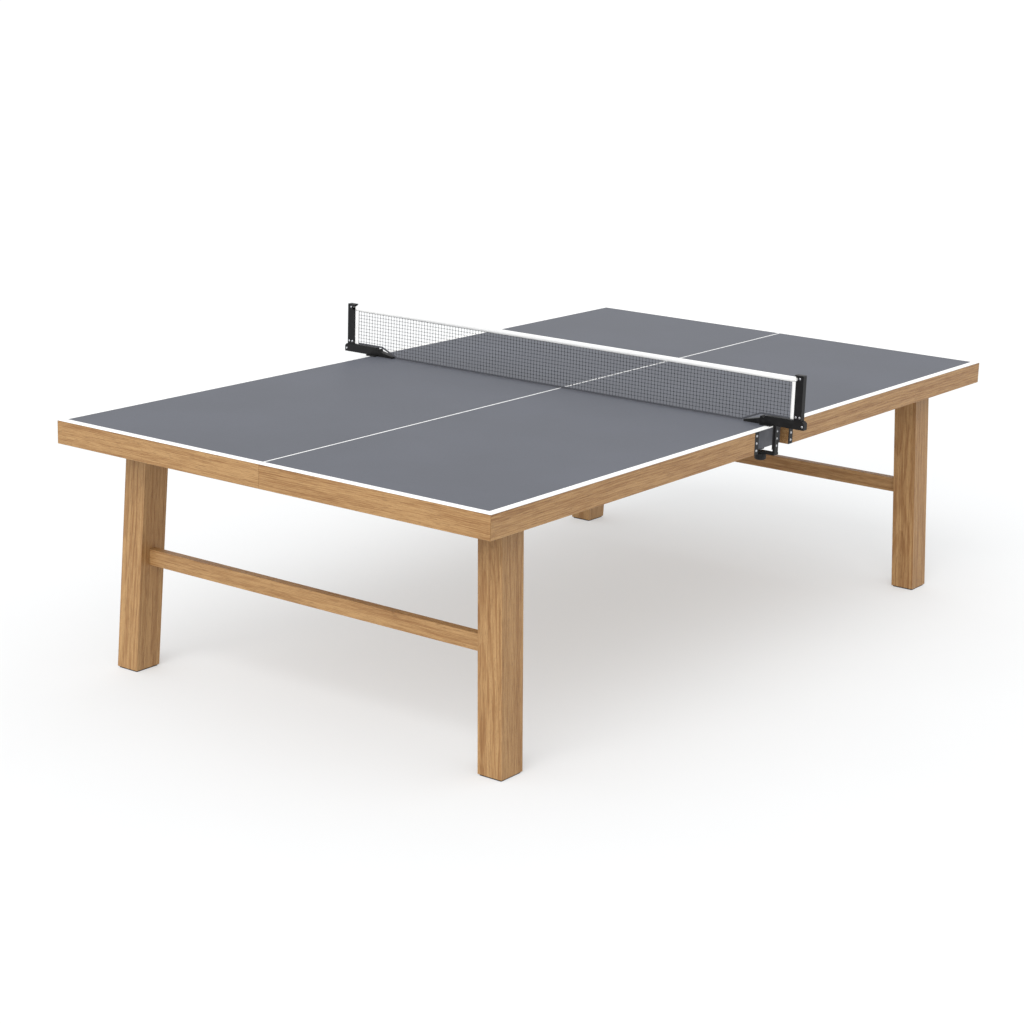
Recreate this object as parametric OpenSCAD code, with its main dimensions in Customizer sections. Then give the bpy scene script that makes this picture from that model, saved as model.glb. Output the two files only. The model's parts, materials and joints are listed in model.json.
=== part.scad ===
// Full-size table tennis table with an oak frame and a clamp-on net.
// +X runs along the table, +Y across it and +Z up. The origin is on the floor under the middle.
// Left is -X, right is +X, front is -Y and back is +Y.

/* [Table] */
// Length of the playing surface
table_l = 2740; // [2200:10:3200]
// Width of the playing surface
table_w = 1525; // [1200:5:1900]
// Height of the playing surface above the floor
table_h = 760; // [600:5:950]

/* [Top] */
// Thickness of the laminate playing sheet and of the white strips round it
sheet_t = 3; // [2:0.5:6]
// Thickness of the core board under the sheet
core_t = 18; // [12:1:25]
// Width of the white strip round the edge
border_w = 20; // [12:1:40]
// Width of the white line along the middle
centre_w = 5; // [2:0.5:10]
// Depth of the groove that the middle line is laid into
line_t = 0.5; // [0.3:0.1:1.5]
// Gap between the two halves of the top
seam = 1; // [0.5:0.1:3]
// Gap between white strips at a corner, measured along one strip
strip_gap = 0.15; // [0.05:0.05:0.5]

/* [Aprons] */
// Depth of the oak apron under the sheet
apron_h = 67; // [55:1:110]
// Thickness of the apron boards
apron_t = 30; // [22:1:40]
// Size of the shadow groove at the top edge and of the bottom chamfer
reveal = 1; // [0.5:0.5:2]
// Gap at the mitred corners and at the butt joints of the end aprons
board_gap = 0.4; // [0.1:0.1:1]

/* [Net notch] */
// Length of the gap in each side apron
notch_l = 176; // [140:2:320]
// Thickness of the grey panel behind the gap
panel_t = 24; // [22:1:40]
// Length of panel behind the apron at each side of the gap
panel_lap = 50; // [35:1:80]
// Width of the steel plate on the apron's face beside the gap
plate_w = 22; // [14:1:40]
// Thickness of that steel plate
plate_t = 2; // [1:0.5:4]
// Distance from the panel's screws to the apron's top and bottom edge
plate_screw_edge = 12; // [8:1:20]

/* [Underframe] */
// Width of the cross timber that each pair of legs hangs from
bolster_w = 136; // [128:1:180]
// Thickness of the two rails that meet under the net
rail_t = 32; // [24:1:45]
// Width of the lengthwise rails
long_rail_w = 45; // [30:1:70]
// Distance of the lengthwise rails from the middle of the table
long_rail_y = 330; // [260:5:400]
// Distance of the inner rail bolts from the middle of the table
bolt_in_y = 180; // [120:5:220]
// Distance of the outer rail bolts from the notch panel
bolt_end = 110; // [60:5:140]
// Diameter of the rail bolts
bolt_d = 10; // [6:1:12]
// Side of the corner blocks
corner_side = 70; // [40:1:100]
// Length of the cleat behind each end apron's joint
cleat_l = 160; // [80:5:260]
// Thickness of that cleat
cleat_t = 20; // [12:1:35]

/* [Legs] */
// Size of a leg along the table
leg_x = 92; // [70:1:110]
// Size of a leg across the table
leg_y = 78; // [60:1:110]
// Distance from the table's end to the top of a leg
leg_inset_x = 176; // [150:1:260]
// Distance from the table's side to the top of a leg
leg_inset_y = 93.5; // [80:0.5:160]
// How far a leg leans out along the table, over its height
splay_x = 15; // [0:1:40]
// How far a leg leans out across the table, over its height
splay_y = 33; // [0:1:60]
// Thickness of the steel plate on top of each leg
leg_plate_t = 8; // [5:1:12]
// How far the plate stands out past the leg along the table
plate_out_x = 20; // [18:1:22]
// How far the plate stands out past the leg towards the table's side
plate_out_y = 47; // [22:1:50]
// How far the plate stands out past the leg towards the middle
plate_in_y = 24; // [18:1:50]
// Thickness of the foot pads
foot_t = 4; // [2:0.5:10]
// How far the foot pads stand back from the leg's faces
foot_inset = 3; // [1:0.5:8]

/* [Stretchers] */
// Height of a stretcher's middle above the floor
stretcher_z = 345; // [200:5:450]
// Depth of a stretcher
stretcher_h = 47; // [35:1:80]
// Thickness of a stretcher
stretcher_t = 29; // [20:1:45]
// Length of the tenon in the leg
tenon_l = 30; // [15:1:45]
// Shoulder round the tenon
shoulder = 6; // [3:0.5:8]

/* [Net] */
// Height of the net's top above the playing surface
net_h = 152.5; // [120:0.5:200]
// Distance from the table's side to the inner face of a post
post_gap = 65; // [45:1:150]
// Thickness of the mesh as a closed panel
mesh_t = 1.2; // [0.8:0.1:2]
// Height of the white tape along the top
tape_h = 15; // [12:0.5:25]
// Width of the white tape at each end
side_tape_w = 15; // [10:0.5:25]
// Thickness of the tapes
tape_t = 4.4; // [4:0.1:7]
// Height of the dark hem along the bottom
hem_h = 5; // [3:0.5:10]
// Gap between the net's hem and what is under it
hem_gap = 1.5; // [0.5:0.5:6]
// Diameter of the cord in the top tape
cord_d = 2.2; // [1.5:0.1:2.4]

/* [Net posts] */
// Size of a post across the table
post_y = 25; // [22:1:40]
// Size of a post along the table
post_x = 18; // [16:1:24]
// Wall of a post
post_wall = 1.5; // [1:0.25:2.5]
// How far a post stands above the net
post_rise = 7; // [6:0.5:15]
// Thickness of the cap's lid
cap_t = 3; // [2:0.5:4]
// How far the cap's lip stands out over the net
cap_lip = 4; // [0:0.5:8]
// Diameter of the post's rivets and of the cord pin
rivet_d = 4; // [3:0.5:4.5]

/* [Net clamps] */
// Height of the clamp's bar at the post
jaw_h = 25; // [20:1:35]
// Width of the clamp's bar
jaw_x = 20; // [16:1:30]
// Length of the bar on the table
jaw_in = 100; // [85:1:160]
// How far the bar runs on outside the post
jaw_end = 10; // [8:1:20]
// Height of the bar at its tip
tip_h = 4; // [3:0.5:8]
// Width of the foot plate under the bar
jaw_foot_x = 48; // [32:1:70]
// Length of the foot plate
jaw_foot_y = 36; // [24:1:38]
// Thickness of the foot plate
jaw_foot_t = 3; // [2:0.5:5]
// Thickness of the rubber under the bar
rubber_t = 1.5; // [1:0.5:4]
// Thickness of the upright strap outside the table's edge
spine_t = 7; // [5:0.5:12]
// Thickness of the rubber between the strap and the table's edge
edge_rubber_t = 3; // [2:0.5:6]
// Thickness of the lower arm
arm_t = 6; // [5:0.5:12]
// Width of the lower arm
arm_x = 24; // [20:1:36]
// Length of the lower arm under the table
arm_in = 95; // [75:1:150]
// Diameter of the clamp screw
screw_d = 8; // [6:0.5:10]
// Travel of the clamp screw
screw_travel = 6; // [4:1:15]
// Diameter of the pressure pad
pad_d = 20; // [14:1:22]
// Thickness of the pressure pad
pad_t = 4; // [3.5:0.5:8]
// Diameter of the knob
knob_d = 34; // [24:1:45]
// Height of the knob
knob_h = 20; // [14:1:30]

/* [Hidden] */
$fn = 48;
// Radial clearance of the screw in the arm and of its tip in the pad
running = 0.06;
// Clearance of pieces that are screwed, riveted, sewn or glued together
fit = 0.1;
// Overlap that lets a cut run out of a face
cut = 1;
// Gap between the knob and the lower arm when the clamp is tight
knob_gap = 1;

half_l = table_l / 2;
half_w = table_w / 2;
sheet_z = table_h - sheet_t;
core_z = sheet_z - core_t;
apron_z = sheet_z - apron_h;
frame_l = half_l - apron_t;
frame_w = half_w - apron_t;
notch_x = notch_l / 2;
panel_x = notch_x + panel_lap;
panel_in = frame_w - panel_t;
rail_x = seam / 2 + rail_t;

leg_top = apron_z - leg_plate_t;
leg_out_x = half_l - leg_inset_x;
leg_out_y = half_w - leg_inset_y;
leg_mid_x = leg_out_x - leg_x / 2;
leg_mid_y = leg_out_y - leg_y / 2;
bolster_in = leg_mid_x - bolster_w / 2;
// How far a leg has leaned out, as a share of its splay, at height z
function lean(z) = (leg_top - z) / (leg_top - foot_t);
// Place of a leg's inner face at height z
function leg_in_y(z) = leg_out_y - leg_y + splay_y * lean(z);
stretcher_x = leg_mid_x + splay_x * lean(stretcher_z);
tenon_t = stretcher_t - 2 * shoulder;
tenon_h = stretcher_h - 2 * shoulder;
tenon_end = leg_in_y(stretcher_z) + tenon_l;
// Leg bolt: shank, head and the room round the head in the bolster
leg_bolt_d = 10;
leg_bolt_l = 60;
leg_bolt_head_d = 18;
leg_bolt_head_h = 7;
leg_bolt_room = 2;
// Screws that hold the leg plate to the bolster, with hexagon heads
leg_screw_d = 7;
leg_screw_l = 34;
leg_screw_edge = 11;
leg_screw_head_d = 13;
leg_screw_head_h = 4;
// Round corners of the leg plates and of the foot pads
plate_r = 8;
foot_r = 4;
// Rail bolts: washer, head and nut
washer_t = 2;
washer_d = 2 * bolt_d;
// Width of the hexagon heads and nuts across their corners
rail_head_d = 1.8 * bolt_d;
rail_head_h = 6;
rail_nut_h = 8;
rail_bolt_out = 2;
// Height of the corner blocks and cleats above the apron's lower edge
block_up = 2;

// Wood screws through the steel plates at the notch
plate_screw_d = 4;
plate_screw_l = 20;
plate_screw_head_h = 2;
plate_screw_x = notch_x + plate_w / 2;

bar_z = table_h + rubber_t;
bar_top = bar_z + jaw_h;
post_in = half_w + post_gap;
post_mid = post_in + post_y / 2;
post_top = table_h + net_h + post_rise;
bar_end = post_in + post_y + jaw_end;
net_top = table_h + net_h;
// Height of the cord's tunnel at the fold of the top tape
tunnel_h = 6;
cord_z = net_top - tunnel_h / 2;
cord_loop_r = rivet_d / 2 + fit + cord_d / 2;
tape_z = net_top - tape_h;
// How far the mesh goes up from the hem's lower edge, and how far its ends stop short of the side tapes' ends
mesh_up = 1;
mesh_short = 2;
// Cloth on each side of the mesh in the hem
hem_wall = 0.7;
// Gap at the top of the post that lets the net's top in: below and above the cord, and its depth
window_down = 8;
window_up = 3;
window_in = 6;
// Clearance of the cap's plug above the cord's loop
plug_gap = 0.2;

// Bar, from the table's side inwards: full height, a notch, a tooth, and then the taper
full_in = 28;
notch_slope = 4;
notch_w = 6;
notch_deep = 6;
tooth_slope = 2;
tooth_w = 4;
tooth_drop = 2;
taper_drop = 9;
bar_corner = 6;
full_y = half_w - full_in;
tooth_y = full_y - notch_slope - notch_w - tooth_slope;
taper_y = tooth_y - tooth_w - tooth_slope;
tip_y = half_w - jaw_in;
// How far the foot plate and the rubber on the table stop short of the table's edge
pad_short = 2;

// The net passes over the bars, so its lower edge slopes up before them
hem_z = table_h + hem_gap;
hem_top_z = bar_top + hem_gap;
// The slope of the lower edge starts this far inside the bar's tip, and ends this far inside its taper
tip_clear = 12;
taper_clear = 2;
hem_low_y = tip_y - tip_clear;
hem_high_y = taper_y - taper_clear;
// Points of the net's lower edge, raised by up, out to y1 on both sides
function net_foot(y1, up) = [
    [-y1, hem_top_z + up], [-hem_high_y, hem_top_z + up], [-hem_low_y, hem_z + up],
    [hem_low_y, hem_z + up], [hem_high_y, hem_top_z + up], [y1, hem_top_z + up],
];
function back_to_front(p) = [for (k = [len(p) - 1:-1:0]) p[k]];
spine_in = half_w + edge_rubber_t;
spine_out = spine_in + spine_t;
arm_top = apron_z - pad_t - screw_travel;
arm_z = arm_top - arm_t;
knob_top = arm_z - knob_gap;
clamp_y = frame_w - panel_t / 2;
tip_d = screw_d - 3;
// Pad left above the screw's tip
pad_roof = 1.5;
tip_deep = pad_t - pad_roof;
// Length of the screw that is held in the knob, measured from the knob's lower face
knob_floor = 5;
// Grooves of the knob: count, diameter and how far their middles lie outside it
knob_grooves = 8;
groove_d = 6;
groove_out = 1.5;
// Three fasteners in a row up the edge of the table
edge_row_z = [for (k = [0:2]) apron_z + plate_screw_edge + k * (apron_h - 2 * plate_screw_edge) / 2];
rivet_head = 1.5;
rivet_head_h = 1.4;
// Depth of the heads of the strap's rivets in the edge rubber
rivet_sunk = 1;
rivet_up = 10;
rivet_off = post_y / 4;
base_rivet_z = bar_top + rivet_up;
tongue_h = 20;
end_rivet_in = 1;
end_rivet_y = bar_end - jaw_end / 2 - end_rivet_in;
end_rivet_z = bar_z + rivet_up;

// A box from its lowest corner to its highest corner.
module block(lo, hi) {
    translate(lo) cube(hi - lo);
}

// Puts what is drawn for the right and back quarter into another quarter.
module quarter(sx, sy) {
    mirror([sx < 0 ? 1 : 0, 0, 0]) mirror([0, sy < 0 ? 1 : 0, 0]) children();
}

// All four quarters, or the front and the back.
module each_quarter() {
    for (sx = [-1, 1], sy = [-1, 1]) quarter(sx, sy) children();
}
module each_side() {
    for (sy = [-1, 1]) quarter(1, sy) children();
}

// Carries an outline that is drawn in (y, z) along x, or one drawn in (x, z) along y.
module along_x(x0, x1) {
    translate([x0, 0, 0]) rotate([90, 0, 90]) linear_extrude(x1 - x0) children();
}
module along_y(y0, y1) {
    translate([0, y1, 0]) rotate([90, 0, 0]) linear_extrude(y1 - y0) children();
}

// Cylinders that start at p and run along +x or +y.
module rod_x(p, d, l) {
    translate(p) rotate([0, 90, 0]) cylinder(d = d, h = l);
}
module rod_y(p, d, l) {
    translate(p) rotate([-90, 0, 0]) cylinder(d = d, h = l);
}

// A rectangle from p to q with round corners.
module round_rect(p, q, r) {
    union() {
        translate([p.x + r, p.y]) square([q.x - p.x - 2 * r, q.y - p.y]);
        translate([p.x, p.y + r]) square([q.x - p.x, q.y - p.y - 2 * r]);
        for (x = [p.x + r, q.x - r], y = [p.y + r, q.y - r]) translate([x, y]) circle(r);
    }
}

// --- Top ---

module playing_sheet(sx) {
    x1 = half_l - border_w;
    y1 = half_w - border_w;
    color("slategray") quarter(sx, 1) difference() {
        block([seam / 2, -y1, sheet_z], [x1, y1, table_h]);
        block([0, -centre_w / 2, table_h - line_t], [x1 + cut, centre_w / 2, table_h + cut]);
    }
}

// The core board fills the frame, less the place of the two notch panels.
module core_board(sx) {
    color("tan") quarter(sx, 1) difference() {
        block([seam / 2, -frame_w, core_z], [frame_l, frame_w, sheet_z]);
        each_side() block([-cut, panel_in, core_z - cut], [panel_x, frame_w + cut, sheet_z + cut]);
    }
}

// Two side strips and one end strip, mitred at the corners.
module border_strips(sx) {
    x0 = half_l - border_w;
    y0 = half_w - border_w;
    color("white") quarter(sx, 1) translate([0, 0, sheet_z]) {
        each_side() linear_extrude(sheet_t)
            polygon([[seam / 2, y0], [x0 - strip_gap, y0], [half_l - strip_gap, half_w], [seam / 2, half_w]]);
        linear_extrude(sheet_t) polygon([
            [x0, strip_gap - y0], [half_l, strip_gap - half_w],
            [half_l, half_w - strip_gap], [x0, y0 - strip_gap],
        ]);
    }
}

module centre_line() {
    color("white") for (sx = [-1, 1]) quarter(sx, 1)
        block([seam / 2, -centre_w / 2, table_h - line_t], [half_l - border_w, centre_w / 2, table_h]);
}

// --- Aprons ---

// Section of an apron board, with its inner face at 0 and its outer face at apron_t.
module apron_section() {
    polygon([
        [0, 0], [apron_t - reveal, 0], [apron_t, reveal], [apron_t, apron_h - reveal],
        [apron_t - reveal, apron_h - reveal], [apron_t - reveal, apron_h], [0, apron_h],
    ]);
}

module end_apron(sx, sy) {
    g = board_gap / 2;
    color("burlywood") quarter(sx, sy) intersection() {
        translate([frame_l, 0, apron_z]) along_y(g, half_w) apron_section();
        translate([0, 0, apron_z]) linear_extrude(apron_h)
            polygon([[frame_l, 0], [half_l, 0], [half_l, half_w - g], [frame_l, frame_w - g]]);
    }
}

module side_apron(sx, sy) {
    g = board_gap / 2;
    color("burlywood") quarter(sx, sy) difference() {
        intersection() {
            translate([0, frame_w, apron_z]) along_x(notch_x, half_l) apron_section();
            translate([0, 0, apron_z]) linear_extrude(apron_h)
                polygon([[0, frame_w], [frame_l - g, frame_w], [half_l - g, half_w], [0, half_w]]);
        }
        block([0, half_w - plate_t, apron_z - cut], [notch_x + plate_w, half_w + cut, sheet_z + cut]);
        for (z = edge_row_z)
            rod_y([plate_screw_x, half_w - plate_screw_l - fit, z], plate_screw_d + 2 * fit, plate_screw_l);
    }
}

// --- Net notch ---

module notch_panel(sy) {
    color("dimgray") quarter(1, sy) block([-panel_x, panel_in, apron_z], [panel_x, frame_w, sheet_z]);
}

// A flat steel plate let into the face of the side aprons at each cut end.
module notch_plates() {
    color("black") each_quarter() difference() {
        block([notch_x, half_w - plate_t, apron_z], [notch_x + plate_w, half_w, sheet_z]);
        for (z = edge_row_z)
            rod_y([plate_screw_x, half_w - plate_t - cut, z], plate_screw_d + 2 * fit, plate_t + 2 * cut);
    }
}

module notch_screws() {
    color("silver") each_quarter() for (z = edge_row_z) {
        rod_y([plate_screw_x, half_w - plate_screw_l, z], plate_screw_d, plate_screw_l);
        translate([plate_screw_x, half_w, z]) rotate([-90, 0, 0])
            cylinder(d1 = 2 * plate_screw_d, d2 = plate_screw_d + 1, h = plate_screw_head_h);
    }
}

// --- Underframe ---

// Where the plate screws go in a leg's plate: the four corners outside the leg.
leg_screw_y = [leg_out_y + plate_out_y - leg_screw_edge, leg_out_y - leg_y - plate_in_y + leg_screw_edge];
leg_screw_spots = [
    for (x = [-1, 1], y = leg_screw_y) [leg_mid_x + x * (leg_x / 2 + plate_out_x - leg_screw_edge), y]
];

module bolster(sx) {
    color("burlywood") quarter(sx, 1) difference() {
        block([bolster_in, -frame_w, apron_z], [bolster_in + bolster_w, frame_w, core_z]);
        each_side() {
            for (p = leg_screw_spots) translate([p.x, p.y, apron_z - cut])
                cylinder(d = leg_screw_d + 2 * fit, h = leg_screw_l + cut);
            translate([leg_mid_x, leg_mid_y, apron_z - cut])
                cylinder(d = leg_bolt_head_d + 2 * leg_bolt_room, h = leg_bolt_head_h + leg_bolt_room + cut);
        }
    }
}

rail_bolt_y = [for (s = [-1, 1], y = [bolt_in_y, panel_in - bolt_end]) s * y];
rail_bolt_z = (apron_z + core_z) / 2;

module centre_rail(sx) {
    color("burlywood") quarter(sx, 1) difference() {
        block([seam / 2, -panel_in, apron_z], [rail_x, panel_in, core_z]);
        for (y = rail_bolt_y) rod_x([-cut, y, rail_bolt_z], bolt_d + 2 * fit, rail_x + 2 * cut);
    }
}

module long_rails() {
    w = long_rail_w / 2;
    color("burlywood") each_quarter()
        block([rail_x, long_rail_y - w, apron_z], [bolster_in, long_rail_y + w, core_z]);
}

// A hexagon that starts at p and runs along +x.
module hexagon_x(p, h) {
    translate(p) rotate([0, 90, 0]) cylinder(d = rail_head_d, h = h, $fn = 6);
}

module rail_bolts() {
    color("silver") for (y = rail_bolt_y) {
        rod_x([-rail_x, y, rail_bolt_z], bolt_d, 2 * rail_x + washer_t + rail_nut_h + rail_bolt_out);
        rod_x([-rail_x - washer_t, y, rail_bolt_z], washer_d, washer_t);
        hexagon_x([-rail_x - washer_t - rail_head_h, y, rail_bolt_z], rail_head_h);
    }
}

module rail_nuts() {
    color("silver") for (y = rail_bolt_y) difference() {
        union() {
            rod_x([rail_x, y, rail_bolt_z], washer_d, washer_t);
            hexagon_x([rail_x + washer_t, y, rail_bolt_z], rail_nut_h);
        }
        rod_x([rail_x - cut, y, rail_bolt_z], bolt_d + 2 * fit, washer_t + rail_nut_h + 2 * cut);
    }
}

module corner_blocks() {
    z0 = apron_z + block_up;
    color("burlywood") each_quarter() translate([0, 0, z0]) linear_extrude(core_z - z0)
        polygon([[frame_l - corner_side, frame_w], [frame_l, frame_w], [frame_l, frame_w - corner_side]]);
}

module apron_cleats() {
    color("burlywood") for (sx = [-1, 1]) quarter(sx, 1)
        block([frame_l - cleat_t, -cleat_l / 2, apron_z + block_up], [frame_l, cleat_l / 2, core_z]);
}

// --- Legs ---

// A leg leans both ways, so it is what two leaning prisms share.
module leg_shape() {
    intersection() {
        along_y(0, half_w) polygon([
            [leg_out_x - leg_x, leg_top], [leg_out_x, leg_top],
            [leg_out_x + splay_x, foot_t], [leg_out_x - leg_x + splay_x, foot_t],
        ]);
        along_x(0, half_l) polygon([
            [leg_out_y - leg_y, leg_top], [leg_out_y, leg_top],
            [leg_out_y + splay_y, foot_t], [leg_out_y - leg_y + splay_y, foot_t],
        ]);
    }
}

module leg(sx, sy) {
    color("burlywood") quarter(sx, sy) difference() {
        leg_shape();
        block(
            [stretcher_x - tenon_t / 2 - fit, 0, stretcher_z - tenon_h / 2 - fit],
            [stretcher_x + tenon_t / 2 + fit, tenon_end + fit, stretcher_z + tenon_h / 2 + fit]
        );
        translate([leg_mid_x, leg_mid_y, leg_top - leg_bolt_l - fit])
            cylinder(d = leg_bolt_d + 2 * fit, h = leg_bolt_l + cut);
    }
}

module leg_plates() {
    color("black") each_quarter() difference() {
        translate([0, 0, leg_top]) linear_extrude(leg_plate_t) round_rect(
            [leg_mid_x - leg_x / 2 - plate_out_x, leg_out_y - leg_y - plate_in_y],
            [leg_mid_x + leg_x / 2 + plate_out_x, leg_out_y + plate_out_y],
            plate_r
        );
        for (p = leg_screw_spots) translate([p.x, p.y, leg_top - cut])
            cylinder(d = leg_screw_d + 2 * fit, h = leg_plate_t + 2 * cut);
        translate([leg_mid_x, leg_mid_y, leg_top - cut])
            cylinder(d = leg_bolt_d + 2 * fit, h = leg_plate_t + 2 * cut);
    }
}

module leg_plate_screws() {
    color("silver") each_quarter() for (p = leg_screw_spots) translate([p.x, p.y, 0]) {
        translate([0, 0, leg_top]) cylinder(d = leg_screw_d, h = leg_plate_t + leg_screw_l - fit);
        translate([0, 0, leg_top - leg_screw_head_h])
            cylinder(d = leg_screw_head_d, h = leg_screw_head_h, $fn = 6);
    }
}

// One long bolt down into each leg, with its head in a recess of the bolster.
module leg_bolts() {
    color("silver") each_quarter() translate([leg_mid_x, leg_mid_y, 0]) {
        translate([0, 0, leg_top - leg_bolt_l]) cylinder(d = leg_bolt_d, h = leg_bolt_l + leg_plate_t);
        translate([0, 0, apron_z]) cylinder(d = leg_bolt_head_d, h = leg_bolt_head_h, $fn = 6);
    }
}

module foot_pads() {
    color("black") each_quarter() linear_extrude(foot_t) round_rect(
        [leg_out_x - leg_x + splay_x + foot_inset, leg_out_y - leg_y + splay_y + foot_inset],
        [leg_out_x + splay_x - foot_inset, leg_out_y + splay_y - foot_inset],
        foot_r
    );
}

// --- Stretchers ---

module stretcher(sx) {
    z0 = stretcher_z - stretcher_h / 2;
    z1 = stretcher_z + stretcher_h / 2;
    color("burlywood") quarter(sx, 1) union() {
        along_x(stretcher_x - stretcher_t / 2, stretcher_x + stretcher_t / 2) polygon([
            [-leg_in_y(z0), z0], [leg_in_y(z0), z0], [leg_in_y(z1), z1], [-leg_in_y(z1), z1],
        ]);
        block(
            [stretcher_x - tenon_t / 2, -tenon_end, stretcher_z - tenon_h / 2],
            [stretcher_x + tenon_t / 2, tenon_end, stretcher_z + tenon_h / 2]
        );
    }
}

// --- Net ---

// The mesh as one thin panel. Its edges go up into the tapes and down into the hem.
module net_mesh() {
    y1 = post_in - mesh_short;
    color("gray") along_x(-mesh_t / 2, mesh_t / 2)
        polygon(concat(net_foot(y1, mesh_up), [[y1, net_top - tunnel_h], [-y1, net_top - tunnel_h]]));
}

// The slot that the mesh fills in a tape
mesh_slot = mesh_t / 2 + fit;

// The tape is folded over the mesh, with a tunnel for the cord at the fold.
module net_top_tape() {
    y1 = post_in + cut;
    color("white") difference() {
        block([-tape_t / 2, -post_in, tape_z], [tape_t / 2, post_in, net_top]);
        block([-mesh_slot, -y1, tape_z - cut], [mesh_slot, y1, net_top - tunnel_h + fit]);
        rod_y([0, -y1, cord_z], cord_d + 2 * fit, 2 * y1);
    }
}

// A fold of dark cloth along the lower edge.
module net_bottom_hem() {
    w = mesh_slot + hem_wall;
    y1 = post_in - side_tape_w - fit;
    color("dimgray") difference() {
        along_x(-w, w) polygon(concat(net_foot(y1, 0), back_to_front(net_foot(y1, hem_h))));
        along_x(-mesh_slot, mesh_slot) polygon(concat(
            net_foot(y1 + cut, mesh_up - fit),
            back_to_front(net_foot(y1 + cut, hem_h + cut))
        ));
    }
}

module net_side_tapes() {
    y0 = post_in - side_tape_w;
    color("white") each_side() difference() {
        block([-tape_t / 2, y0, hem_top_z], [tape_t / 2, post_in, tape_z]);
        block(
            [-mesh_slot, y0 - cut, hem_top_z + mesh_up - fit],
            [mesh_slot, post_in - mesh_short + fit, tape_z + cut]
        );
    }
}

// The cord runs in the top tape from pin to pin, with a loop round each pin.
module net_cord() {
    y1 = post_mid - cord_loop_r;
    color("whitesmoke") union() {
        rod_y([0, -y1, cord_z], cord_d, 2 * y1);
        each_side() translate([0, post_mid, cord_z]) rotate([0, 90, 0])
            rotate_extrude() translate([cord_loop_r, 0]) circle(cord_d / 2);
    }
}

// --- Net posts ---

module post_bores() {
    d = rivet_d + 2 * fit;
    for (y = [-1, 1]) rod_x([-post_x, post_mid + y * rivet_off, base_rivet_z], d, 2 * post_x);
    rod_x([-post_x, post_mid, cord_z], d, 2 * post_x);
}

// A square tube, cut away at the top on the net's side to let the cord in.
module net_post(sy) {
    w = post_wall;
    color("black") quarter(1, sy) difference() {
        block([-post_x / 2, post_in, bar_top], [post_x / 2, post_in + post_y, post_top - cap_t]);
        block(
            [w - post_x / 2, post_in + w, bar_top - cut],
            [post_x / 2 - w, post_in + post_y - w, post_top]
        );
        block(
            [-post_x, post_in - cut, cord_z - window_down],
            [post_x, post_in + window_in, cord_z + window_up]
        );
        post_bores();
    }
}

module post_caps() {
    w = post_wall + fit;
    color("black") each_side() union() {
        block([-post_x / 2, post_in - cap_lip, post_top - cap_t], [post_x / 2, post_in + post_y, post_top]);
        block(
            [w - post_x / 2, post_in + w, cord_z + cord_loop_r + cord_d / 2 + plug_gap],
            [post_x / 2 - w, post_in + post_y - w, post_top - cap_t + fit]
        );
    }
}

// --- Net clamps ---

// Side view of the bar: full height outside the table, then a small tooth and a taper to the tip.
module bar_outline() {
    polygon([
        [bar_end, bar_z], [bar_end, bar_top - bar_corner], [bar_end - bar_corner, bar_top], [full_y, bar_top],
        [full_y - notch_slope, bar_top - notch_deep], [full_y - notch_slope - notch_w, bar_top - notch_deep],
        [tooth_y, bar_top - tooth_drop], [tooth_y - tooth_w, bar_top - tooth_drop],
        [taper_y, bar_top - taper_drop], [tip_y, bar_z + tip_h], [tip_y, bar_z],
    ]);
}

module clamp_body(sy) {
    t = post_wall + 2 * fit;
    foot_y1 = half_w - pad_short;
    color("black") quarter(1, sy) difference() {
        union() {
            along_x(-jaw_x / 2, jaw_x / 2) bar_outline();
            block(
                [-jaw_foot_x / 2, foot_y1 - jaw_foot_y, bar_z],
                [jaw_foot_x / 2, foot_y1, bar_z + jaw_foot_t]
            );
            block(
                [t - post_x / 2, post_in + t, bar_top - cut],
                [post_x / 2 - t, post_in + post_y - t, bar_top + tongue_h]
            );
            block([-jaw_x / 2, spine_in, arm_z], [jaw_x / 2, spine_out, bar_z + cut]);
            block([-arm_x / 2, half_w - arm_in, arm_z], [arm_x / 2, spine_out, arm_top]);
        }
        post_bores();
        translate([0, clamp_y, arm_z - cut]) cylinder(d = screw_d + 2 * running, h = arm_t + 2 * cut);
        rod_x([-jaw_x, end_rivet_y, end_rivet_z], rivet_d + 2 * fit, 2 * jaw_x);
        for (z = edge_row_z) rod_y([0, spine_in - cut, z], rivet_d + 2 * fit, spine_t + 2 * cut);
    }
}

// Rubber under the bar and its foot plate.
module jaw_pads() {
    color("dimgray") each_side() translate([0, 0, table_h]) linear_extrude(rubber_t) union() {
        translate([-jaw_x / 2, tip_y]) square([jaw_x, jaw_in - pad_short]);
        translate([-jaw_foot_x / 2, half_w - pad_short - jaw_foot_y]) square([jaw_foot_x, jaw_foot_y]);
    }
}

// Rubber between the strap and the table's edge.
module edge_pads() {
    color("dimgray") each_side() difference() {
        block([-jaw_x / 2, half_w, apron_z], [jaw_x / 2, spine_in, table_h]);
        for (z = edge_row_z) rod_y([0, half_w + rivet_sunk, z], rivet_d + 2 * fit, edge_rubber_t);
    }
}

// A low head, from a wide foot to a flat top as wide as the shank.
module rivet_head() {
    cylinder(d1 = rivet_d + 2 * rivet_head, d2 = rivet_d, h = rivet_head_h);
}

// A rivet through x: a shank between two heads.
module rivet_x(y, z, w) {
    rod_x([-w / 2, y, z], rivet_d, w);
    for (s = [-1, 1]) translate([s * w / 2, y, z]) rotate([0, s * 90, 0]) rivet_head();
}

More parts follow.
